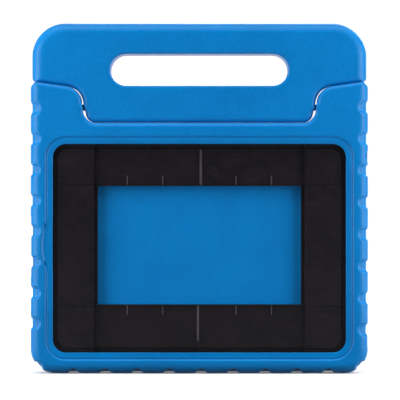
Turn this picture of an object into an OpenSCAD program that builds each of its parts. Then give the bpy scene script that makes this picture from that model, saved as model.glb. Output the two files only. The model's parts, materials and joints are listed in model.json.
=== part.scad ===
// Foam tablet case with a carrying handle that folds back into a stand.
// Millimetres. The origin is under the middle of the base, +X right, +Y back, +Z up.
// The screen side faces -Y, and the hinge line runs along X.

/* [Foam body] */
// Width over the side walls
body_w = 262; // [258:1:266]
// Thickness from the screen side to the back
body_t = 28; // [28:0.5:30]
// Outline radius of the two bottom corners
body_corner_r = 19; // [16:1:24]
// Rounding of the outer edges
body_edge_r = 8; // [6:0.5:9]

/* [Tablet pocket] */
// Pocket width, for a 240 mm tablet
pocket_w = 240.4; // [240:0.2:241]
// Pocket height, for a 169.5 mm tablet
pocket_h = 169.8; // [169:0.2:170.4]
// Pocket depth, for a 7.5 mm tablet
pocket_t = 7.5; // [7.5:0.1:8]
// Height of the pocket's middle above the base
pocket_z = 98.2; // [97.6:0.1:98.8]
// Thickness of the lip in front of the tablet, before its step
lip_t = 3.5; // [3:0.1:4]
// Width of the screen opening
screen_w = 226.6; // [225:0.2:228]
// Height of the screen opening
screen_h = 161.2; // [160:0.2:162]
// Height of the screen opening's middle above the base
screen_z = 97.1; // [96.8:0.1:97.6]
// Corner radius of the screen opening
screen_r = 10; // [8:1:12]
// Width of the stepped band around the screen opening
lip_w = 5; // [4:0.5:6]
// Depth of the step
lip_step = 0.8; // [0.4:0.1:1]

/* [Grip grooves] */
// Number of grooves down each side
side_grooves = 8; // [4:1:8]
// Number of grooves along the base
base_grooves = 9; // [5:1:9]
// Groove width
groove_w = 8.5; // [6:0.5:9]
// Groove depth
groove_d = 1.4; // [0.8:0.1:1.8]
// How far a side groove reaches in over the front and the back
groove_reach = 8; // [7:0.5:9]
// How far a groove along the base reaches up over the front and the back
base_reach = 4; // [3:0.5:8]

/* [Handle] */
// Width over the shoulders
handle_w = 260; // [256:1:262]
// Height of the handle's top above the base
handle_top = 272; // [268:1:276]
// Outline radius of the two top corners
handle_corner_r = 26; // [22:1:30]
// Rounding of the handle's outer edges
handle_edge_r = 9; // [6:0.5:10]
// Length of the hand slot
slot_w = 138; // [120:1:145]
// Height of the hand slot
slot_h = 24.4; // [22:0.2:26]
// Height of the slot's middle above the base
slot_z = 235.4; // [234:0.2:238]

/* [Hinge] */
// Height of the hinge line above the base
hinge_z = 206.5; // [206:0.1:207]
// How far the handle folds back, in degrees
fold_max = 110; // [90:1:110]
// Drop from the hinge line to the rail that the handle sits on
rail_drop = 12.2; // [12:0.1:12.4]
// Sideways gap between the handle and the ears, at the hinge line
gap_side = 1.3; // [1.2:0.1:1.6]
// Gap between the handle and the body above and below
gap_rise = 0.35; // [0.3:0.05:0.5]
// Diameter of the hinge pins
pin_d = 5; // [4.6:0.1:5.2]
// Outer diameter of the moulded sockets
socket_d = 9; // [8.6:0.1:9.6]
// Diameter of the barbs around the sockets
barb_d = 11.2; // [10.6:0.1:11.6]

/* [Pocket insert] */
// Width of the side columns
column_w = 38.4; // [36:0.2:40]
// Height of the insert's window
window_h = 92; // [90:0.5:94]
// Height of the window's middle above the base
window_z = 99.4; // [98.8:0.1:100]
// How far the top and bottom strips lie behind the side columns
strip_set_back = 3.1; // [2:0.1:3.4]

/* [Hidden] */
$fn = 64;

// Depths, from the screen side (-Y) to the back (+Y)
front_y = -body_t / 2;
back_y = body_t / 2;
lid_y = front_y + lip_t;
floor_y = lid_y + pocket_t;
past = 6;

// The line where handle and body meet, as seen from the front, about the hinge line.
// Each ear is a round shoulder with a sloping top, and the tongue has a round corner.
ear_r = 13.6;
ear_x = 104.8;
ear_z = 2.9;
ear_slope = 8;
ear_corner_r = 3;
ear_side_h = 15;
ear_reach_h = 30;
dome_clear = 0.8;
tongue_r = 8.9;
tongue_x = 80.5;
tongue_z = tongue_r - rail_drop;
far = 150;

// How much wider the handle's hollow is than the ear, and how much tighter its corner
ear_grow = 1.36;
tongue_shrink = 1.9;

// The tongue's back is round about the hinge line, so the handle is twice this thick
handle_half_t = rail_drop - gap_rise;

// Places of the hinge pieces along X, from the middle outwards
handle_socket_in = 61;
pin_in = 64;
flat_end = 84;
handle_socket_out = 88;
ear_socket_in = 91.6;
ring_end = 94.6;
pin_out = 116;
ear_socket_out = 119.6;
pin_r = pin_d / 2;
run_gap = 0.05;
pin_end_gap = 0.4;
ring_gap = 0.03;
ring_r = 3.8;
flat_h = 1.8;
barb_w = 1.6;
barb_pitch = 7;

// Heights of the first and last groove on each side, and places of those along the base
groove_right = [34, 206.5];
groove_left = [39, 205.5];
groove_base = [-97.5, 100.3];

// Side openings for the tablet's ports and keys
port_h = 5.6;
port_end_r = 2.7;
port_y = (lid_y + floor_y) / 2;
port_len = 46;
power_len = 15;
power_z = 28;
volume_len = 24;
volume_x = 97;
jack_r = 4;
jack_z = 168;
camera_r = 7;
camera_flare_r = 10;
camera_flare_t = 4;
camera_x = 106;
camera_z = 27;

// Thumb scoop in the lip, beside the tablet's round key
scoop_z = 99.5;
scoop_len = 44;
scoop_d = 7.5;
scoop_y = front_y + 1.7;
scoop_slant = 6;

// The insert fills the pocket with a small clearance
fit = 0.2;
insert_half_w = pocket_w / 2 - fit;
insert_low = pocket_z - pocket_h / 2 + fit;
insert_high = pocket_z + pocket_h / 2 - fit;
insert_back = floor_y - fit;
column_front = lid_y + fit;
strip_front = column_front + strip_set_back;
column_in = insert_half_w - column_w;
window_low = window_z - window_h / 2;
window_high = window_z + window_h / 2;
seam_off = 1.2;
seam_x = 1;
insert_r = 9;
skin = 2;
wall = 1.6;
lap_len = 6.5;
ridge_w = 0.9;
ridge_h = 0.3;
gusset_w = 0.9;
gusset_len = 8;
gusset_h = 1.2;
rim_clear = 6;
lap_inset = 6;
lap_t = 2;
lap_front = insert_back - lap_t;
strip_gussets = [28, 55.5];
column_gusset_z = 23.5;
column_gusset_len = 5.5;

// ---- helpers ----

// Extrudes an X-Z outline from depth y0 to depth y1
module along_y(y0, y1) {
  translate([0, y1, 0]) rotate([90, 0, 0]) linear_extrude(y1 - y0) children();
}

// Extrudes a Y-Z outline from x0 to x1
module along_x(x0, x1) {
  translate([x0, 0, 0]) rotate([90, 0, 90]) linear_extrude(x1 - x0) children();
}

// Mirrors a right-hand piece to the left side
module on_side(side) {
  mirror([side < 0 ? 1 : 0, 0, 0]) children();
}

module rounded_rect(w, h, r) {
  square([w, h - 2 * r], center = true);
  square([w - 2 * r, h], center = true);
  for (x = [-1, 1], z = [-1, 1])
    translate([x * (w / 2 - r), z * (h / 2 - r)]) circle(r);
}

// A box given by its two corners
module box(low, high) {
  translate(low) cube(high - low);
}

// Half of a slab's section: it reaches out along X and ends in two rounded edges
module edge_section(reach, thick, r) {
  translate([0, -thick / 2]) square([reach - r, thick]);
  translate([0, -thick / 2 + r]) square([reach, thick - 2 * r]);
  for (side = [-1, 1])
    translate([reach - r, side * (thick / 2 - r)]) circle(r);
}

// A slab that stands on its rounded end at z = 0. The inset shrinks it all round.
module rounded_slab(half_w, thick, edge, corner, high, inset = 0) {
  t = thick - 2 * inset;
  reach = corner - inset;
  x = half_w - corner;
  for (side = [-1, 1]) {
    translate([side * x, 0, corner]) rotate([90, 0, 0])
      rotate_extrude() edge_section(reach, t, edge - inset);
    on_side(side) translate([x, 0, corner])
      linear_extrude(high - corner) edge_section(reach, t, edge - inset);
  }
  translate([-x, 0, corner]) rotate([0, 90, 0])
    linear_extrude(2 * x) edge_section(reach, t, edge - inset);
  box([-x, -t / 2, corner], [x, t / 2, high]);
}

// ---- the line between handle and body ----

// Right half of the space above the body, or of the handle, drawn about the hinge line.
// The ear and the tongue's corner are each given as [x, z, radius].
module half_seat(ear, tongue) {
  ear_x = ear[0];
  ear_z = ear[1];
  ear_r = ear[2];
  tongue_x = tongue[0];
  tongue_z = tongue[1];
  tongue_r = tongue[2];
  low = tongue_z - tongue_r;
  top_x = ear_x - ear_r * sin(ear_slope);
  top_z = ear_z + ear_r * cos(ear_slope);
  difference() {
    union() {
      translate([-past, ear_z]) square([far + past, far]);
      translate([-past, low]) square([tongue_x + past, ear_z + 1 - low]);
      translate([tongue_x, tongue_z]) circle(tongue_r);
      polygon([[0, tongue_z], [tongue_x + tongue_r, tongue_z], [ear_x - ear_r, ear_z], [0, ear_z]]);
    }
    translate([ear_x, ear_z]) circle(ear_r);
    polygon([
      [ear_x, ear_z - 1], [top_x, top_z],
      [far + 1, top_z + (far + 1 - top_x) * tan(ear_slope)], [far + 1, ear_z - 1]
    ]);
  }
}

// Space above the body, seen from the front
module seat() {
  for (side = [-1, 1]) on_side(side)
    half_seat([ear_x, ear_z, ear_r], [tongue_x, tongue_z, tongue_r]);
}

// The handle keeps a gap from that line. It is widest at the hinge line and narrows away from it.
module handle_outline() {
  for (side = [-1, 1]) on_side(side) half_seat(
    [ear_x - gap_side + ear_grow, ear_z + gap_rise - ear_grow, ear_r + ear_grow],
    [tongue_x - gap_side + tongue_shrink, tongue_z + gap_rise - tongue_shrink, tongue_r - tongue_shrink]
  );
}

// Keeps the part of an outline above or below the hinge line
module above_hinge() {
  intersection() {
    children();
    translate([-far, 0]) square([2 * far, far]);
  }
}

module below_hinge() {
  intersection() {
    children();
    translate([-far, -far]) square([2 * far, far]);
  }
}

// Turns an outline above the hinge line about that line, from straight up to the back
module sweep_back(angle) {
  mirror([0, 0, 1]) rotate([0, 90, 0]) rotate_extrude(angle = angle)
    mirror([1, -1]) above_hinge() children();
}

// Everything that the handle passes through as it folds back
module fold_space() {
  translate([0, 0, hinge_z]) {
    along_y(front_y - past, 0) seat();
    sweep_back(fold_max) seat();
    rotate([-fold_max, 0, 0]) along_y(-1, handle_half_t + gap_rise) above_hinge() seat();
    along_x(-ear_x + ear_r + dome_clear, ear_x - ear_r - dome_clear) circle(rail_drop);
  }
}

// ---- foam body ----

module groove_end(z, reach = groove_reach) {
  translate([body_w / 2 - reach + groove_w / 2, z]) {
    circle(groove_w / 2);
    translate([0, -groove_w / 2]) square([reach + past, groove_w]);
  }
}

function spread(ends, i, count) = ends[0] + (ends[1] - ends[0]) * i / (count - 1);

// Round-ended channels that wrap over the outer edges
module grip_grooves() {
  difference() {
    along_y(front_y - 1, back_y + 1) {
      for (i = [0 : side_grooves - 1]) {
        groove_end(spread(groove_right, i, side_grooves));
        mirror([1, 0]) groove_end(spread(groove_left, i, side_grooves));
      }
      for (i = [0 : base_grooves - 1])
        translate([0, body_w / 2]) rotate(-90)
          groove_end(spread(groove_base, i, base_grooves), base_reach);
      for (side = [-1, 1])
        translate([side * (body_w / 2 - body_corner_r), body_corner_r])
          rotate(side > 0 ? -45 : -135) translate([body_corner_r - body_w / 2, 0])
            groove_end(0, base_reach);
    }
    rounded_slab(body_w / 2, body_t, body_edge_r, body_corner_r, far * 2, groove_d);
  }
}

// Openings through the side walls, at the tablet's depth
module wall_openings() {
  wall_x = pocket_w / 2 - 1;
  out_x = body_w / 2 + past;
  along_x(-out_x, -wall_x) translate([port_y, pocket_z]) rounded_rect(port_h, port_len, port_end_r);
  along_x(wall_x, out_x) translate([port_y, power_z]) rounded_rect(port_h, power_len, port_end_r);
  along_x(wall_x, out_x) translate([port_y, jack_z]) circle(jack_r);
  translate([volume_x, port_y, -past]) linear_extrude(insert_low + past)
    rounded_rect(volume_len, port_h, port_end_r);
  translate([camera_x, 0, camera_z]) rotate([-90, 0, 0]) {
    translate([0, 0, floor_y - 1]) cylinder(h = body_t, r = camera_r);
    translate([0, 0, back_y - camera_flare_t])
      cylinder(h = camera_flare_t + 0.01, r1 = camera_r, r2 = camera_flare_r);
  }
}

// Screen opening, its stepped band and the tablet pocket behind it
module tablet_space() {
  along_y(lid_y, floor_y) translate([0, pocket_z]) rounded_rect(pocket_w, pocket_h, insert_r);
  along_y(front_y - 1, lid_y + 1) translate([0, screen_z]) rounded_rect(screen_w, screen_h, screen_r);
  along_y(front_y - 1, front_y + lip_step) translate([0, screen_z])
    rounded_rect(screen_w + 2 * lip_w, screen_h + 2 * lip_w, screen_r + lip_w);
  along_y(front_y - 1, scoop_y) polygon([
    [-screen_w / 2 + 1, scoop_z - scoop_len / 2],
    [-screen_w / 2 - scoop_d, scoop_z - scoop_len / 2 + scoop_slant],
    [-screen_w / 2 - scoop_d, scoop_z + scoop_len / 2 - scoop_slant],
    [-screen_w / 2 + 1, scoop_z + scoop_len / 2]
  ]);
}

module foam_body() {
  color("#0a78cc") difference() {
    intersection() {
      rounded_slab(body_w / 2, body_t, body_edge_r, body_corner_r, hinge_z + ear_reach_h);
      along_y(front_y, back_y) union() {
        translate([-body_w / 2, 0]) square([body_w, hinge_z + ear_side_h]);
        translate([-body_w / 2 + ear_corner_r, 0]) square([body_w - 2 * ear_corner_r, hinge_z + ear_reach_h]);
        for (side = [-1, 1])
          translate([side * (body_w / 2 - ear_corner_r), hinge_z + ear_side_h]) circle(ear_corner_r);
      }
    }
    fold_space();
    tablet_space();
    wall_openings();
    grip_grooves();
    for (side = [-1, 1]) on_side(side) ear_socket_shape(ear_x - ear_r - 2);
  }
}

// ---- foam handle ----

module hand_slot() {
  along_y(-handle_half_t - 1, handle_half_t + 1) translate([0, slot_z]) {
    square([slot_w - slot_h, slot_h], center = true);
    for (side = [-1, 1]) translate([side * (slot_w - slot_h) / 2, 0]) circle(slot_h / 2);
  }
}

module foam_handle() {
  color("#0a6cb8") difference() {
    intersection() {
      translate([0, 0, handle_top]) mirror([0, 0, 1])
        rounded_slab(handle_w / 2, 2 * handle_half_t, handle_edge_r, handle_corner_r, handle_top - hinge_z + rail_drop);
      translate([0, 0, hinge_z]) {
        along_y(-handle_half_t, 0) handle_outline();
        along_y(-1, handle_half_t) above_hinge() handle_outline();
        rotate([0, 90, 0]) rotate_extrude(angle = 90)
          mirror([1, 0]) mirror([1, -1]) below_hinge() handle_outline();
      }
    }
    hand_slot();
    for (side = [-1, 1]) on_side(side) handle_socket_shape(ear_x - ear_r + 2);
  }
}

// ---- hinge pieces, drawn for the right side ----

module round_bar(x0, x1, r) {
  translate([x0, 0, hinge_z]) rotate([0, 90, 0]) cylinder(h = x1 - x0, r = r);
}

// Pin end with one flat, which locks it in the handle's socket
module flatted_bar(x0, x1, r) {
  intersection() {
    round_bar(x0, x1, r);
    box([x0, -r, hinge_z - r], [x1, r, hinge_z + flat_h]);
  }
}

// Three barbs around a socket's middle, which hold it in the foam
module socket_barbs(middle) {
  for (i = [-1 : 1])
    round_bar(middle + i * barb_pitch - barb_w / 2, middle + i * barb_pitch + barb_w / 2, barb_d / 2);
}

// Each socket's outer shape. The mouth says how far its hole in the foam is open.
module ear_socket_shape(mouth = ear_socket_in) {
  round_bar(mouth, ear_socket_out, socket_d / 2);
  socket_barbs((ear_socket_in + ear_socket_out) / 2);
}

module handle_socket_shape(mouth = handle_socket_out) {
  round_bar(handle_socket_in, mouth, socket_d / 2);
  socket_barbs((handle_socket_in + handle_socket_out) / 2);
}

module ear_socket(side) {
  color("#1b1a1c") on_side(side) difference() {
    ear_socket_shape();
    round_bar(ear_socket_in - 1, pin_out + pin_end_gap, pin_r + run_gap);
    round_bar(ear_socket_in - 1, ring_end, ring_r);
  }
}

module friction_ring(side) {
  color("#3a3a3c") on_side(side) difference() {
    round_bar(ear_socket_in + 0.2, ring_end, ring_r);
    round_bar(ear_socket_in - 1, ring_end + 1, pin_r + ring_gap);
  }
}

module hinge_pin(side) {
  color("#8a8d92") on_side(side) {
    flatted_bar(pin_in, flat_end, pin_r);
    round_bar(flat_end, pin_out, pin_r);
  }
}

module handle_socket(side) {
  color("#1b1a1c") on_side(side) difference() {
    handle_socket_shape();
    flatted_bar(pin_in, flat_end, pin_r);
    round_bar(flat_end, handle_socket_out + 1, pin_r);
  }
}

// ---- pocket insert ----

// Open cells in the back of a thick column, between x0 and x1, z0 and z1
module column_cells(x0, x1, z0, z1, rows) {
  cell_w = (x1 - x0 - 3 * wall) / 2;
  cell_h = (z1 - z0 - (rows + 1) * wall) / rows;
  for (c = [0 : 1], r = [0 : rows - 1])
    translate([x0 + wall + c * (cell_w + wall), column_front + skin, z0 + wall + r * (cell_h + wall)])
      cube([cell_w, pocket_t, cell_h]);
}

// Tongue that laps behind the next piece, or with grow the recess that takes it
module bar_lap(z0, z1, grow = 0) {
  box([column_in + lap_inset - grow, lap_front - grow, z0 - grow],
      [insert_half_w - lap_inset + grow, insert_back + grow * 2, z1 + grow]);
}

module insert_bar(side) {
  z0 = window_low - seam_off + fit / 2;
  z1 = window_high + seam_off - fit / 2;
  color("#201c22") on_side(side) {
    difference() {
      box([column_in, column_front, z0], [insert_half_w, insert_back, z1]);
      column_cells(column_in, insert_half_w, z0, z1, 4);
    }
    box([column_in, column_front - ridge_h, z0], [column_in + ridge_w, column_front, z1]);
    for (z = [window_z - column_gusset_z, window_z + column_gusset_z])
      box([column_in, column_front - ridge_h, z], [column_in + column_gusset_len, column_front, z + gusset_w]);
    bar_lap(z0 - lap_len, z0 + wall);
    bar_lap(z1 - wall, z1 + lap_len);
  }
}

// Strip half with its rim and gussets, as the top right one. It runs from x = seam outwards.
module strip_half(seam, z_seam) {
  z_in = window_high;
  x_end = column_in - fit / 2;
  box([seam + fit / 2, strip_front, z_in], [x_end, insert_back, insert_high]);
  box([x_end - 1, strip_front, z_seam], [column_in + 1, insert_back, insert_high]);
  box([seam + fit / 2, strip_front - gusset_h, z_in], [x_end, strip_front, z_in + gusset_w]);
  for (x = strip_gussets)
    box([x, strip_front - gusset_h, z_in], [x + gusset_w, strip_front, z_in + gusset_len]);
}

module strip_lap(seam, grow = 0) {
  box([seam - lap_len - grow, lap_front - grow, window_high + lap_inset - grow],
      [seam + 1 + grow, insert_back + grow * 2, insert_high - lap_inset + grow]);
}

// A top corner on the right. The one with the lap tongue reaches behind the other strip.
module top_corner(with_tongue) {
  z_seam = window_high + seam_off + fit / 2;
  seam = with_tongue ? seam_x : -seam_x;
  difference() {
    union() {
      along_y(column_front, insert_back) {
        translate([column_in, z_seam])
          square([column_w - insert_r, insert_high - z_seam]);
        translate([column_in, z_seam])
          square([column_w, insert_high - insert_r - z_seam]);
        translate([insert_half_w - insert_r, insert_high - insert_r]) circle(insert_r);
      }
      box([column_in, column_front - ridge_h, z_seam],
          [column_in + ridge_w, column_front, insert_high - rim_clear]);
      strip_half(seam, z_seam);
      if (with_tongue) strip_lap(seam);
    }
    column_cells(column_in, insert_half_w - wall, z_seam + lap_len, insert_high - wall, 1);
    bar_lap(z_seam - 1, z_seam + lap_len, fit);
    if (!with_tongue) mirror([1, 0, 0]) strip_lap(seam_x, fit);
  }
}

module insert_corner(side, top) {
  color("#1c191d")
    translate([0, 0, window_z]) mirror([0, 0, top ? 0 : 1]) translate([0, 0, -window_z])
      on_side(side) top_corner(top == (side > 0));
}

foam_body();
foam_handle();
ear_socket(-1);  // ear_socket_left
ear_socket(1);  // ear_socket_right
friction_ring(-1);  // friction_ring_left
friction_ring(1);  // friction_ring_right
hinge_pin(-1);  // hinge_pin_left
hinge_pin(1);  // hinge_pin_right
handle_socket(-1);  // handle_socket_left
handle_socket(1);  // handle_socket_right
insert_bar(-1);  // insert_bar_left
insert_bar(1);  // insert_bar_right
insert_corner(-1, true);  // insert_corner_top_left
insert_corner(1, true);  // insert_corner_top_right
insert_corner(-1, false);  // insert_corner_bottom_left
insert_corner(1, false);  // insert_corner_bottom_right
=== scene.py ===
import bmesh
import bpy
import json
import math
from mathutils import Matrix, Vector
from mathutils.kdtree import KDTree


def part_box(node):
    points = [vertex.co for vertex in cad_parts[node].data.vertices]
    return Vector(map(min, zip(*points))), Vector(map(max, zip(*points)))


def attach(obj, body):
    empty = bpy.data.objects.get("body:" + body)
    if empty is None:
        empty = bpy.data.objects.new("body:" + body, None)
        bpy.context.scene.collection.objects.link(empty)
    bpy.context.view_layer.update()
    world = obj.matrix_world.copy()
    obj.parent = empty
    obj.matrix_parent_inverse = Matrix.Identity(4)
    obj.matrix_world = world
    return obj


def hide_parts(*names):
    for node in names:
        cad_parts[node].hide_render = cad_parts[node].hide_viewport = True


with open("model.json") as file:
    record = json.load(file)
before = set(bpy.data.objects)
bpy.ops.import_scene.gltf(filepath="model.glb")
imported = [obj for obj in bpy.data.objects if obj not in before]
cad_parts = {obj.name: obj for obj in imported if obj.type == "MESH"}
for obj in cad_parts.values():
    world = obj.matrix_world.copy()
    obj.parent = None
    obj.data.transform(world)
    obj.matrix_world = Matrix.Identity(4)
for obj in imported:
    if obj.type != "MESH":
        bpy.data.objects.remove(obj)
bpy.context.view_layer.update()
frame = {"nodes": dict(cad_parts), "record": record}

MM = 0.001
SAME_POINT = 0.002 * MM
FOAM_VOXEL = 0.65 * MM
BODY_KEEP = 0.22
HANDLE_KEEP = 0.8
JOINT = frame["record"]["behaviour"]["joints"][0]
HINGE_Z = JOINT["pos_m"][2]
FRONT_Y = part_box("foam_body")[0].y
HANDLE_FRONT_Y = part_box("foam_handle")[0].y


# ---- small helpers ----

def linear(hex_colour):
    """An sRGB hex colour as linear RGBA."""
    out = []
    for i in (0, 2, 4):
        c = int(hex_colour[i:i + 2], 16) / 255
        out.append(c / 12.92 if c <= 0.04045 else ((c + 0.055) / 1.055) ** 2.4)
    return (*out, 1.0)


def smooth_step(low, high, value):
    """0 below low, 1 above high, and a soft S between them."""
    t = min(1.0, max(0.0, (value - low) / (high - low)))
    return t * t * (3 - 2 * t)


def bm_from(node_name):
    """A CAD node's mesh with its loose triangles merged."""
    bm = bmesh.new()
    bm.from_mesh(bpy.data.objects[node_name].data)
    bmesh.ops.remove_doubles(bm, verts=bm.verts, dist=SAME_POINT)
    return bm


def piece_from(bm, name, body, material, smooth=True):
    """Turns a bmesh into a finished piece that rides on a body."""
    mesh = bpy.data.meshes.new(name)
    bm.to_mesh(mesh)
    bm.free()
    for face in mesh.polygons:
        face.use_smooth = smooth
    obj = bpy.data.objects.new(name, mesh)
    bpy.context.scene.collection.objects.link(obj)
    mesh.materials.append(material)
    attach(obj, body)
    return obj


def with_modifier(bm, kind, **settings):
    """Runs one modifier over a bmesh and gives the result back as a bmesh."""
    mesh = bpy.data.meshes.new("work")
    bm.to_mesh(mesh)
    bm.free()
    obj = bpy.data.objects.new("work", mesh)
    bpy.context.scene.collection.objects.link(obj)
    modifier = obj.modifiers.new("work", kind)
    for key, value in settings.items():
        setattr(modifier, key, value)
    graph = bpy.context.evaluated_depsgraph_get()
    out = bmesh.new()
    out.from_mesh(obj.evaluated_get(graph).to_mesh())
    bpy.data.objects.remove(obj)
    bpy.data.meshes.remove(mesh)
    return out


def soften(bm, verts, rounds):
    """Rounds the moulded edges among these vertices."""
    for _ in range(rounds):
        bmesh.ops.smooth_vert(bm, verts=verts, factor=0.5,
                              use_axis_x=True, use_axis_y=True, use_axis_z=True)


# ---- materials ----

def node(tree, kind, links=(), stops=(), **settings):
    """Adds one node.

    Settings are properties or socket values, links are (socket, from_node, output),
    and stops are (place, colour) along a colour ramp.
    """
    n = tree.nodes.new(kind)
    for i, (where, colour) in enumerate(stops):
        n.color_ramp.elements[i].position = where
        n.color_ramp.elements[i].color = colour
    for key, value in settings.items():
        if key.startswith("in_"):
            name = key[3:]
            n.inputs[int(name) if name.isdigit() else name.replace("_", " ")].default_value = value
        else:
            setattr(n, key, value)
    for socket, source, output in links:
        tree.links.new(source.outputs[output], n.inputs[socket])
    return n


def new_material(name):
    """An empty material, its tree and the node that gives object coordinates."""
    material = bpy.data.materials.new(name)
    material.use_nodes = True
    tree = material.node_tree
    tree.nodes.clear()
    place = node(tree, "ShaderNodeTexCoord")
    return material, tree, place


def finish_material(tree, shader):
    node(tree, "ShaderNodeOutputMaterial", links=[("Surface", shader, 0)])


def grey(value):
    return (value, value, value, 1.0)


# Sizes of the patterns in the finishes
CLOUD_SIZE = 30 * MM
CELL_SIZE = 1.6 * MM
# The real pebble is about 0.4 mm; 1.1 mm is the finest that still shows here
PEBBLE_SIZE = 1.1 * MM
FLOW_SIZE = 22 * MM
SCRATCH_SIZE = 6 * MM
SCRATCH_TURN = 0.6
SCRATCH_STRETCH = 9.0
PP_GRAIN_SIZE = 1.2 * MM
ACETAL_GRAIN_SIZE = 3 * MM
RUBBER_GRAIN_SIZE = 0.9 * MM
STEEL_GRAIN_SIZE = 1.2 * MM
PAPER_FIBRE_SIZE = 4 * MM
# How high the patterns stand in the skins
PEBBLE_HIGH = 0.3 * MM
CELL_HIGH = 0.4 * MM
GRAIN_HIGH = 0.2 * MM


def eva_foam():
    # Compression-moulded closed-cell EVA: a satin skin with a fine pebble from the mould,
    # soft light and dark clouds where the cells lie denser, and a weak broad sheen.
    material, tree, place = new_material("moulded_eva_foam")
    clouds = node(tree, "ShaderNodeTexNoise", links=[("Vector", place, "Object")],
                  in_Scale=1 / CLOUD_SIZE, in_Detail=4.0, in_Roughness=0.55)
    cells = node(tree, "ShaderNodeTexNoise", links=[("Vector", place, "Object")],
                 in_Scale=1 / CELL_SIZE, in_Detail=3.0, in_Roughness=0.6)
    pebble = node(tree, "ShaderNodeTexVoronoi", links=[("Vector", place, "Object")],
                  in_Scale=1 / PEBBLE_SIZE)
    tone = node(tree, "ShaderNodeValToRGB", links=[("Fac", clouds, "Fac")],
                stops=[(0.32, linear("007AC6")), (0.68, linear("0185D3"))])
    speck = node(tree, "ShaderNodeValToRGB", links=[("Fac", cells, "Fac")],
                 stops=[(0.30, linear("0075BF")), (0.72, linear("0390DE"))])
    colour = node(tree, "ShaderNodeMix", data_type="RGBA", in_0=0.35,
                  links=[(6, tone, 0), (7, speck, 0)])
    rough = node(tree, "ShaderNodeValToRGB", links=[("Fac", cells, "Fac")],
                 stops=[(0.3, grey(0.30)), (0.7, grey(0.40))])
    bump_a = node(tree, "ShaderNodeBump", in_Strength=0.16, in_Distance=PEBBLE_HIGH,
                  links=[("Height", pebble, "Distance")])
    bump_b = node(tree, "ShaderNodeBump", in_Strength=0.25, in_Distance=CELL_HIGH,
                  links=[("Height", cells, "Fac"), ("Normal", bump_a, 0)])
    shader = node(tree, "ShaderNodeBsdfPrincipled", in_IOR=1.48, in_Specular_IOR_Level=0.20,
                  links=[("Base Color", colour, 2), ("Roughness", rough, 0), ("Normal", bump_b, 0)])
    finish_material(tree, shader)
    return material


def moulded_pp(name, dark, light, rubbed, level):
    # Injection-moulded polypropylene, black with a brown-violet cast: smooth from the mould,
    # with flow clouds, faint rubs from handling and fine scratches.
    material, tree, place = new_material(name)
    flow = node(tree, "ShaderNodeTexNoise", links=[("Vector", place, "Object")],
                in_Scale=1 / FLOW_SIZE, in_Detail=5.0, in_Roughness=0.6, in_Distortion=1.2)
    stretch = node(tree, "ShaderNodeMapping", links=[("Vector", place, "Object")],
                   in_Rotation=(0.0, SCRATCH_TURN, 0.0), in_Scale=(1.0, 1.0, SCRATCH_STRETCH))
    scratch = node(tree, "ShaderNodeTexNoise", links=[("Vector", stretch, 0)],
                   in_Scale=1 / SCRATCH_SIZE, in_Detail=4.0, in_Roughness=0.7)
    grain = node(tree, "ShaderNodeTexNoise", links=[("Vector", place, "Object")],
                 in_Scale=1 / PP_GRAIN_SIZE, in_Detail=2.0)
    base = node(tree, "ShaderNodeValToRGB", links=[("Fac", flow, "Fac")],
                stops=[(0.35, linear(dark)), (0.70, linear(light))])
    rub = node(tree, "ShaderNodeValToRGB", links=[("Fac", scratch, "Fac")],
               stops=[(0.56, grey(0.0)), (0.72, grey(0.6))])
    colour = node(tree, "ShaderNodeMix", data_type="RGBA", in_7=linear(rubbed),
                  links=[(0, rub, 0), (6, base, 0)])
    rough = node(tree, "ShaderNodeValToRGB", links=[("Fac", scratch, "Fac")],
                 stops=[(0.40, grey(0.34)), (0.75, grey(0.46))])
    bump = node(tree, "ShaderNodeBump", in_Strength=0.12, in_Distance=GRAIN_HIGH,
                links=[("Height", grain, "Fac")])
    shader = node(tree, "ShaderNodeBsdfPrincipled", in_IOR=1.49,
                  in_Specular_IOR_Level=level,
                  links=[("Base Color", colour, 2), ("Roughness", rough, 0), ("Normal", bump, 0)])
    finish_material(tree, shader)
    return material


def plain_part(name, low, high, grain_size, rough_low, rough_high,
               ior=1.48, metallic=0.0, strength=0.1):
    material, tree, place = new_material(name)
    grain = node(tree, "ShaderNodeTexNoise", links=[("Vector", place, "Object")],
                 in_Scale=1 / grain_size, in_Detail=3.0)
    colour = node(tree, "ShaderNodeValToRGB", links=[("Fac", grain, "Fac")],
                  stops=[(0.3, linear(low)), (0.7, linear(high))])
    rough = node(tree, "ShaderNodeValToRGB", links=[("Fac", grain, "Fac")],
                 stops=[(0.3, grey(rough_low)), (0.7, grey(rough_high))])
    bump = node(tree, "ShaderNodeBump", in_Strength=strength, in_Distance=GRAIN_HIGH,
                links=[("Height", grain, "Fac")])
    shader = node(tree, "ShaderNodeBsdfPrincipled", in_IOR=ior, in_Metallic=metallic,
                  links=[("Base Color", colour, 0), ("Roughness", rough, 0), ("Normal", bump, 0)])
    finish_material(tree, shader)
    return material


FOAM = eva_foam()
PP = moulded_pp("moulded_polypropylene", "0E0C0F", "1C181D", "352F36", 0.16)
# The same plastic in a paler grey on corners and ribs: a painted highlight where their edges catch the
# light
PP_PAINTED_HIGHLIGHT = moulded_pp("polypropylene_painted_edge_highlight", "3F3A41", "524C54", "6A626B", 0.3)
# Acetal, moulded and self-coloured black: a slightly waxy half gloss
ACETAL = plain_part("moulded_acetal", "141315", "1D1B1E", ACETAL_GRAIN_SIZE, 0.34, 0.42)
# Nitrile rubber, pressed: dull black with a dusty grain
RUBBER = plain_part("pressed_nitrile_rubber", "161617", "232325", RUBBER_GRAIN_SIZE, 0.72, 0.85,
                    ior=1.52, strength=0.2)
# Drawn steel, chemically blackened: dark, with a soft metallic shine
STEEL = plain_part("blackened_drawn_steel", "3A3B3E", "55575B", STEEL_GRAIN_SIZE, 0.30, 0.42,
                   ior=1.5, metallic=1.0)


# ---- foam ----

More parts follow.
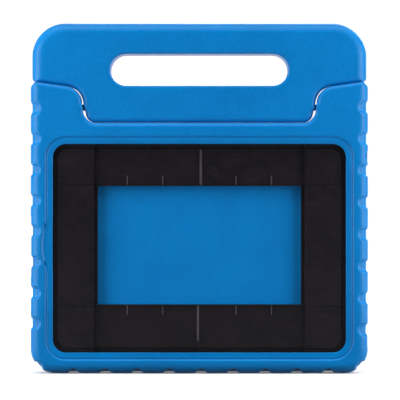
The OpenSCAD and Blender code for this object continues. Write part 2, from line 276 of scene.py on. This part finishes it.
# The screen opening, as in the CAD: half sizes, corner radius and middle
OPENING_HALF_W = 113.3 * MM
OPENING_HALF_H = 80.6 * MM
OPENING_R = 10 * MM
OPENING_Z = 97.1 * MM
LIP_W = 5 * MM
LIP_INNER_Y = FRONT_Y + 1.35 * MM
LIP_OUTER_Y = FRONT_Y + 0.45 * MM
CREASE_DEPTH = 0.75 * MM
CREASE_W = 0.55 * MM
SCOOP_X = -OPENING_HALF_W
SCOOP_Z = 99.5 * MM
SCOOP_R_Z = 21 * MM
SCOOP_R_X = 8.5 * MM
SCOOP_DEPTH = 1.5 * MM
# Rounds of softening: all over, at the gap before and after its edges are rolled, and on the grip
SKIN_ROUNDS = 5
GAP_ROUNDS = 6
ROLLED_ROUNDS = 2
GRIP_ROUNDS = 18


def foam_skin(node_name):
    """The moulded skin of one foam piece: the CAD shape with soft edges everywhere."""
    bm = with_modifier(bm_from(node_name), "REMESH", mode="VOXEL", voxel_size=FOAM_VOXEL)
    soften(bm, bm.verts[:], SKIN_ROUNDS)
    return bm


# Where handle and body meet, seen from the front and about the hinge line, in mm:
# the height of the flat, the tongue's corner and the ear as (x, z, radius)
BODY_LINE = (-12.2, (80.5, -3.3, 8.9), (104.8, 2.9, 13.6))
HANDLE_LINE = (-11.85, (81.1, -4.85, 7.0), (104.86, 1.89, 14.96))
EAR_SLOPE = math.radians(8)
LINE_STEP = 0.3
GAP_EDGE_R = 4.0 * MM
GAP_HALF_W = 132 * MM
GAP_Z = (186 * MM, 230 * MM)
# Start and end of the arcs in degrees, their steps, and the steps along the ear's slope
TONGUE_ARC = (-90, 0)
EAR_ARC = (180, 98)
ARC_STEPS = 60
SLOPE_STEPS = 100
# Closer to the line than this, a point moves along its own normal
ON_LINE = 0.4 * MM


def near_gap(v):
    """Whether a point is on the edges where handle and body meet."""
    return abs(v.co.x) < GAP_HALF_W and GAP_Z[0] < v.co.z < GAP_Z[1]


def meeting_line(flat, tongue, ear):
    """Points along one side of the line where handle and body meet, ready for searching."""
    points = [(x * LINE_STEP, flat) for x in range(int(tongue[0] / LINE_STEP))]
    for (x, z, r), (first, last) in ((tongue, TONGUE_ARC), (ear, EAR_ARC)):
        for i in range(ARC_STEPS + 1):
            angle = math.radians(first + (last - first) * i / ARC_STEPS)
            points.append((x + r * math.cos(angle), z + r * math.sin(angle)))
    x, z = points[-1]
    rise = math.tan(EAR_SLOPE)
    points += [(x + i * LINE_STEP, z + i * LINE_STEP * rise) for i in range(SLOPE_STEPS)]
    tree = KDTree(len(points))
    for i, (x, z) in enumerate(points):
        tree.insert((x * MM, 0, HINGE_Z + z * MM), i)
    tree.balance()
    return tree


def roll_edge(bm, line, front_y, radius):
    """Rounds the front edge along the meeting line to a quarter circle."""
    tree = meeting_line(*line)
    bm.normal_update()
    for v in bm.verts:
        depth = v.co.y - front_y
        if depth > radius or not near_gap(v):
            continue
        side = -1 if v.co.x < 0 else 1
        flat = Vector((abs(v.co.x), 0, v.co.z))
        nearest, _, inwards = tree.find(flat)
        a = radius - inwards
        b = radius - depth
        if inwards > radius or math.hypot(a, b) <= radius:
            continue
        away = flat - nearest
        if inwards < ON_LINE:
            away = Vector((-v.normal.x * side, 0, -v.normal.z))
        if away.length == 0:
            continue
        away.normalize()
        shrink = 1 - radius / math.hypot(a, b)
        v.co += Vector((away.x * side * a * shrink, b * shrink, away.z * a * shrink))


# The front skin near the opening: its depth, how much it faces the front, and its reach outwards
LIP_SKIN = 3 * MM
LIP_FACING = -0.35
LIP_BAND = (0.3 * MM, 9 * MM)
LIP_FADE = 1.6 * MM
# Points further behind the lip than this stay where they are
LIP_SNAP = 0.8 * MM
SCOOP_BOWL = 0.4 * MM
SCOOP_EDGE = (0.8, 1.15)
SCOOP_END = 1.25


def from_opening(x, z):
    """Distance outwards from the edge of the screen opening."""
    qx = abs(x) - (OPENING_HALF_W - OPENING_R)
    qz = abs(z - OPENING_Z) - (OPENING_HALF_H - OPENING_R)
    return math.hypot(max(qx, 0), max(qz, 0)) + min(max(qx, qz), 0) - OPENING_R


def shape_lip(bm):
    """The lip slopes in to the screen from a pressed crease, and has a thumb scoop at the left."""
    bm.normal_update()
    for v in bm.verts:
        if v.co.y > FRONT_Y + LIP_SKIN or v.normal.y > LIP_FACING:
            continue
        d = from_opening(v.co.x, v.co.z)
        if not LIP_BAND[0] < d < LIP_BAND[1]:
            continue
        slope = LIP_INNER_Y + (LIP_OUTER_Y - LIP_INNER_Y) * min(1, d / LIP_W)
        y = slope + (FRONT_Y - LIP_OUTER_Y) * smooth_step(LIP_W, LIP_W + LIP_FADE, d)
        y += CREASE_DEPTH * math.exp(-((d - LIP_W) / CREASE_W) ** 2)
        reach = math.hypot((v.co.x - SCOOP_X) / SCOOP_R_X, (v.co.z - SCOOP_Z) / SCOOP_R_Z)
        if v.co.x < 0 and reach < SCOOP_END:
            dish = FRONT_Y + SCOOP_DEPTH + SCOOP_BOWL * (1 - reach)
            y = max(y, dish + (y - dish) * smooth_step(*SCOOP_EDGE, reach))
        if v.co.y <= y + LIP_SNAP:
            v.co.y = y


def make_body():
    bm = foam_skin("foam_body")
    soften(bm, [v for v in bm.verts if near_gap(v)], GAP_ROUNDS)
    roll_edge(bm, BODY_LINE, FRONT_Y, GAP_EDGE_R)
    soften(bm, [v for v in bm.verts if near_gap(v)], ROLLED_ROUNDS)
    shape_lip(bm)
    bm = with_modifier(bm, "DECIMATE", ratio=BODY_KEEP)
    obj = piece_from(bm, "body_foam", "case", FOAM)
    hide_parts("foam_body")
    return obj


# The hand slot and its edges
GRIP_Z = (219 * MM, 252 * MM)
GRIP_HALF_W = 75 * MM


def make_handle():
    bm = foam_skin("foam_handle")
    soften(bm, [v for v in bm.verts if near_gap(v)], GAP_ROUNDS)
    roll_edge(bm, HANDLE_LINE, HANDLE_FRONT_Y, GAP_EDGE_R)
    soften(bm, [v for v in bm.verts if near_gap(v)], ROLLED_ROUNDS)
    grip = [v for v in bm.verts if GRIP_Z[0] < v.co.z < GRIP_Z[1] and abs(v.co.x) < GRIP_HALF_W]
    soften(bm, grip, GRIP_ROUNDS)
    bm = with_modifier(bm, "DECIMATE", ratio=HANDLE_KEEP)
    obj = piece_from(bm, "handle_foam", "handle", FOAM)
    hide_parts("foam_handle")
    return obj


body_foam = make_body()
handle_foam = make_handle()


# ---- insert ----

# Round marks that the mould's ejector pins leave, as (x, z) in mm on the right side, upper half
BAR_MARKS = [(105.4, 99.3), (85.6, 131.4), (85.6, 67.4)]
CORNER_MARKS = [(72.1, 153.9), (12.8, 153.1), (104.0, 165.0)]
COLUMN_FRONT = -10.3 * MM
STRIP_FRONT = -7.2 * MM
COLUMN_IN = 81.6 * MM
WINDOW_Z = 99.4 * MM
MARK_R = 1.9 * MM
MARK_SIDES = 24
MARK_PROUD = 0.16 * MM
MARK_SINK = 0.7 * MARK_PROUD
MARK_RING_W = 0.4 * MM
MARK_SLOPE_W = 0.15 * MM


def add_mark(bm, x, z):
    """A raised ring with a sunk middle, facing the front."""
    y = COLUMN_FRONT if abs(x) > COLUMN_IN else STRIP_FRONT
    place = Matrix.Translation((x, y, z)) @ Matrix.Rotation(math.radians(90), 4, "X")
    disc = bmesh.ops.create_circle(bm, cap_ends=True, segments=MARK_SIDES, radius=MARK_R,
                                   matrix=place)
    face = disc["verts"][0].link_faces[0]
    if face.normal.y > 0:
        bmesh.ops.reverse_faces(bm, faces=[face])
    raised = bmesh.ops.extrude_face_region(bm, geom=[face])
    top = [g for g in raised["geom"] if isinstance(g, bmesh.types.BMFace)]
    bmesh.ops.translate(bm, verts=top[0].verts[:], vec=(0, -MARK_PROUD, 0))
    bmesh.ops.inset_region(bm, faces=top, thickness=MARK_RING_W)
    bmesh.ops.inset_region(bm, faces=top, thickness=MARK_SLOPE_W)
    bmesh.ops.translate(bm, verts=top[0].verts[:], vec=(0, MARK_SINK, 0))


# The raised field ends short of the lip, and a lower rim runs under the lip.
# Each plane is a point on it in mm and its outward direction, both as (x, z).
RIM_PLANES = [((110.0, 0.0), (1, 0)), ((0.0, 19.9), (0, -1)), ((0.0, 174.3), (0, 1)),
              ((107.3, 22.6), (0.707, -0.707)), ((107.3, 171.6), (0.707, 0.707))]
RIM_STEP_W = 0.5 * MM
TOUCHING = 0.1 * MM
COLUMN_RIM_DROP = 1.8 * MM
STRIP_RIM_DROP = 1.2 * MM


def sink_rim(bm, side):
    """Cuts the front of an insert piece along the rim planes, and sinks what lies outside them."""
    planes = []
    for (x, z), (nx, nz) in RIM_PLANES:
        at, normal = Vector((side * x * MM, 0, z * MM)), Vector((side * nx, 0, nz))
        planes.append((at, normal))
        for offset in (0, RIM_STEP_W):
            parts = bm.verts[:] + bm.edges[:] + bm.faces[:]
            bmesh.ops.bisect_plane(bm, geom=parts, plane_co=at + normal * offset, plane_no=normal)
    for v in bm.verts:
        outside = max((v.co - at).dot(normal) for at, normal in planes)
        if outside > RIM_STEP_W / 2 and v.co.y < STRIP_FRONT + TOUCHING:
            on_column = abs(v.co.x) > COLUMN_IN - TOUCHING / 2 and v.co.y < COLUMN_FRONT + TOUCHING
            v.co.y = COLUMN_FRONT + COLUMN_RIM_DROP if on_column else STRIP_FRONT + STRIP_RIM_DROP


# The rib at each middle seam, the dark foot along the window (painted shade), and the edges and gussets
# with a painted highlight
SEAM_X = 1.1 * MM
RIB_W = 0.9 * MM
RIB_PROUD = 0.7 * MM
STRIP_Z = (146.2 * MM, 173.6 * MM)
SHADE_FOOT_W = 2.6 * MM
SHADE_FOOT_TOP = -4.6 * MM
LAP_LEN = 7.5 * MM
GUSSET_AREA = 9 * MM * MM
GUSSET_Y = STRIP_FRONT - 0.8 * MM
GUSSET_FACING = -0.9
HIGHLIGHT_EDGE_W = 0.38 * MM
SHARP_EDGE = math.radians(40)


def add_rib(bm, low, high):
    """A block between two opposite corners. Gives its points back."""
    size = high - low
    place = Matrix.Translation((low + high) / 2) @ Matrix.Diagonal((*size, 1))
    return bmesh.ops.create_cube(bm, size=1, matrix=place)["verts"]


def highlight_gussets(bm):
    """Gives the small gusset fronts on the strips the paler material, a painted highlight."""
    for face in bm.faces:
        middle = face.calc_center_median()
        on_strip = abs(middle.x) < COLUMN_IN and middle.y < GUSSET_Y
        if on_strip and face.calc_area() < GUSSET_AREA and face.normal.y < GUSSET_FACING:
            face.material_index = 1


def make_insert(name):
    bm = bm_from(name)
    side = -1 if name.endswith("left") else 1
    flip = -1 if "bottom" in name else 1
    highlight_gussets(bm)
    sink_rim(bm, side)
    if "bar" not in name:
        seam = SEAM_X if ("top" in name) == name.endswith("right") else -SEAM_X
        ends = sorted(WINDOW_Z + flip * (z - WINDOW_Z) for z in STRIP_Z)
        xs = sorted((side * seam, side * (seam + RIB_W)))
        rib = add_rib(bm, Vector((xs[0], STRIP_FRONT - RIB_PROUD, ends[0])),
                      Vector((xs[1], STRIP_FRONT + MM, ends[1])))
        # The rib's faces get the paler material, a painted highlight along the seam
        # Every face of the rib touches one of two opposite points
        for face in rib[0].link_faces[:] + rib[-1].link_faces[:]:
            face.material_index = 1
    else:
        # A low dark foot lies on the pocket floor along the window: painted shade, a dark strip put
        # where the column wall shades the window foam
        xs = sorted((side * (COLUMN_IN - SHADE_FOOT_W), side * (COLUMN_IN + MM)))
        low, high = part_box(name)
        add_rib(bm, Vector((xs[0], SHADE_FOOT_TOP, low.z + LAP_LEN)),
                Vector((xs[1], high.y, high.z - LAP_LEN)))
    # The bevel gives every sharp edge the paler material, a painted edge highlight
    bm = with_modifier(bm, "BEVEL", width=HIGHLIGHT_EDGE_W, segments=2, material=1, limit_method="ANGLE",
                       angle_limit=SHARP_EDGE)
    for x, z in BAR_MARKS if "bar" in name else CORNER_MARKS:
        add_mark(bm, side * x * MM, WINDOW_Z + flip * (z * MM - WINDOW_Z))
    obj = piece_from(bm, "moulded_" + name, "case", PP, smooth=False)
    # Second slot: the paler plastic that paints the edge highlight
    obj.data.materials.append(PP_PAINTED_HIGHLIGHT)
    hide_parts(name)


for name in frame["nodes"]:
    if name.startswith("insert"):
        make_insert(name)


# ---- hinge parts keep their CAD shapes ----

HINGE_FINISHES = {"socket": ACETAL, "ring": RUBBER, "pin": STEEL}


def finish_part(name, material):
    """Gives every slot of a CAD node's mesh one material."""
    obj = bpy.data.objects[name]
    if not obj.material_slots:
        obj.data.materials.append(material)
    for slot in obj.material_slots:
        slot.material = material


for name in frame["nodes"]:
    for word, material in HINGE_FINISHES.items():
        if word in name:
            finish_part(name, material)


# ---- floor, light and camera ----

FLOOR_GLOW = (0.15, 1.0)
BACKDROP_GLOW = (1.0, 1.0)
GLOW_REACH = (0.35, 1.6)
PAPER_ROUGHNESS = 0.9
PAPER_HALF_W = 4.0
BACKDROP_Y = 4.0
BACKDROP_Z = 2.0


def stage_material(name, glow_near, glow_far):
    # Matt white paper sweep. It glows with distance, as paper does under its own background lights.
    material, tree, place = new_material(name)
    away = node(tree, "ShaderNodeVectorMath", operation="LENGTH", links=[("Vector", place, "Object")])
    glow = node(tree, "ShaderNodeMapRange", links=[("Value", away, "Value")],
                in_1=GLOW_REACH[0], in_2=GLOW_REACH[1], in_3=glow_near, in_4=glow_far)
    fibre = node(tree, "ShaderNodeTexNoise", links=[("Vector", place, "Object")],
                 in_Scale=1 / PAPER_FIBRE_SIZE)
    tone = node(tree, "ShaderNodeValToRGB", links=[("Fac", fibre, "Fac")],
                stops=[(0.3, linear("F2F2F2")), (0.7, linear("F6F6F6"))])
    shader = node(tree, "ShaderNodeBsdfPrincipled",
                  in_Roughness=PAPER_ROUGHNESS, in_Emission_Color=grey(1.0),
                  links=[("Base Color", tone, 0), ("Emission Strength", glow, 0)])
    finish_material(tree, shader)
    return material


def stage_sheet(name, size, place, material):
    bm = bmesh.new()
    bmesh.ops.create_grid(bm, x_segments=2, y_segments=2, size=size, matrix=place)
    mesh = bpy.data.meshes.new(name)
    bm.to_mesh(mesh)
    bm.free()
    sheet = bpy.data.objects.new(name, mesh)
    bpy.context.scene.collection.objects.link(sheet)
    mesh.materials.append(material)
    # Black flags keep the paper's bounce off the object
    sheet.visible_diffuse = False


def make_stage():
    floor_paper = stage_material("matt_white_floor", *FLOOR_GLOW)
    stage_sheet("floor", PAPER_HALF_W, Matrix.Identity(4), floor_paper)
    back_paper = stage_material("lit_white_backdrop", *BACKDROP_GLOW)
    upright = Matrix.Translation((0, BACKDROP_Y, BACKDROP_Z)) @ Matrix.Rotation(math.radians(90), 4, "X")
    stage_sheet("backdrop", PAPER_HALF_W, upright, back_paper)


WORLD_STRENGTH = 0.09
# Each softbox: its place, the point it faces, its width and height, and its power in watts
SOFTBOXES = {
    "left_softbox": ((-0.58, -0.24, 0.15), (0, 0, 0.12), (0.45, 0.7), 5.3),
    "right_softbox": ((0.58, -0.24, 0.15), (0, 0, 0.12), (0.45, 0.7), 5.0),
    "top_softbox": ((0.0, -0.30, 1.20), (0, 0, 0.1), (1.6, 0.8), 12),
    "back_softbox": ((0.35, 1.1, 0.85), (0, 0, 0.1), (1.2, 0.8), 13),
}


def soft_light(name, place, target, size, power):
    data = bpy.data.lights.new(name, "AREA")
    data.shape = "RECTANGLE"
    data.size, data.size_y = size
    data.energy = power
    light = bpy.data.objects.new(name, data)
    bpy.context.scene.collection.objects.link(light)
    light.location = place
    light.rotation_euler = (Vector(target) - Vector(place)).to_track_quat("-Z", "Y").to_euler()


def make_light():
    world = bpy.data.worlds.new("studio")
    bpy.context.scene.world = world
    world.use_nodes = True
    background = world.node_tree.nodes["Background"]
    background.inputs["Strength"].default_value = WORLD_STRENGTH
    for name, settings in SOFTBOXES.items():
        soft_light(name, *settings)


VIEW_W = 0.312
CAMERA_Y = -1.48
CAMERA_X = 0.5 * MM
CAMERA_Z = 134.5 * MM
SENSOR = 36.0
CLIP_NEAR = 0.05
CLIP_FAR = 50


def make_camera():
    data = bpy.data.cameras.new("camera")
    data.sensor_width = SENSOR
    data.lens = SENSOR * -CAMERA_Y / VIEW_W
    data.clip_start = CLIP_NEAR
    data.clip_end = CLIP_FAR
    camera = bpy.data.objects.new("camera", data)
    bpy.context.scene.collection.objects.link(camera)
    camera.location = (CAMERA_X, CAMERA_Y, CAMERA_Z)
    camera.rotation_euler = (math.radians(90), 0, 0)
    bpy.context.scene.camera = camera


make_stage()
make_light()
make_camera()
bpy.context.scene.view_settings.view_transform = "Standard"
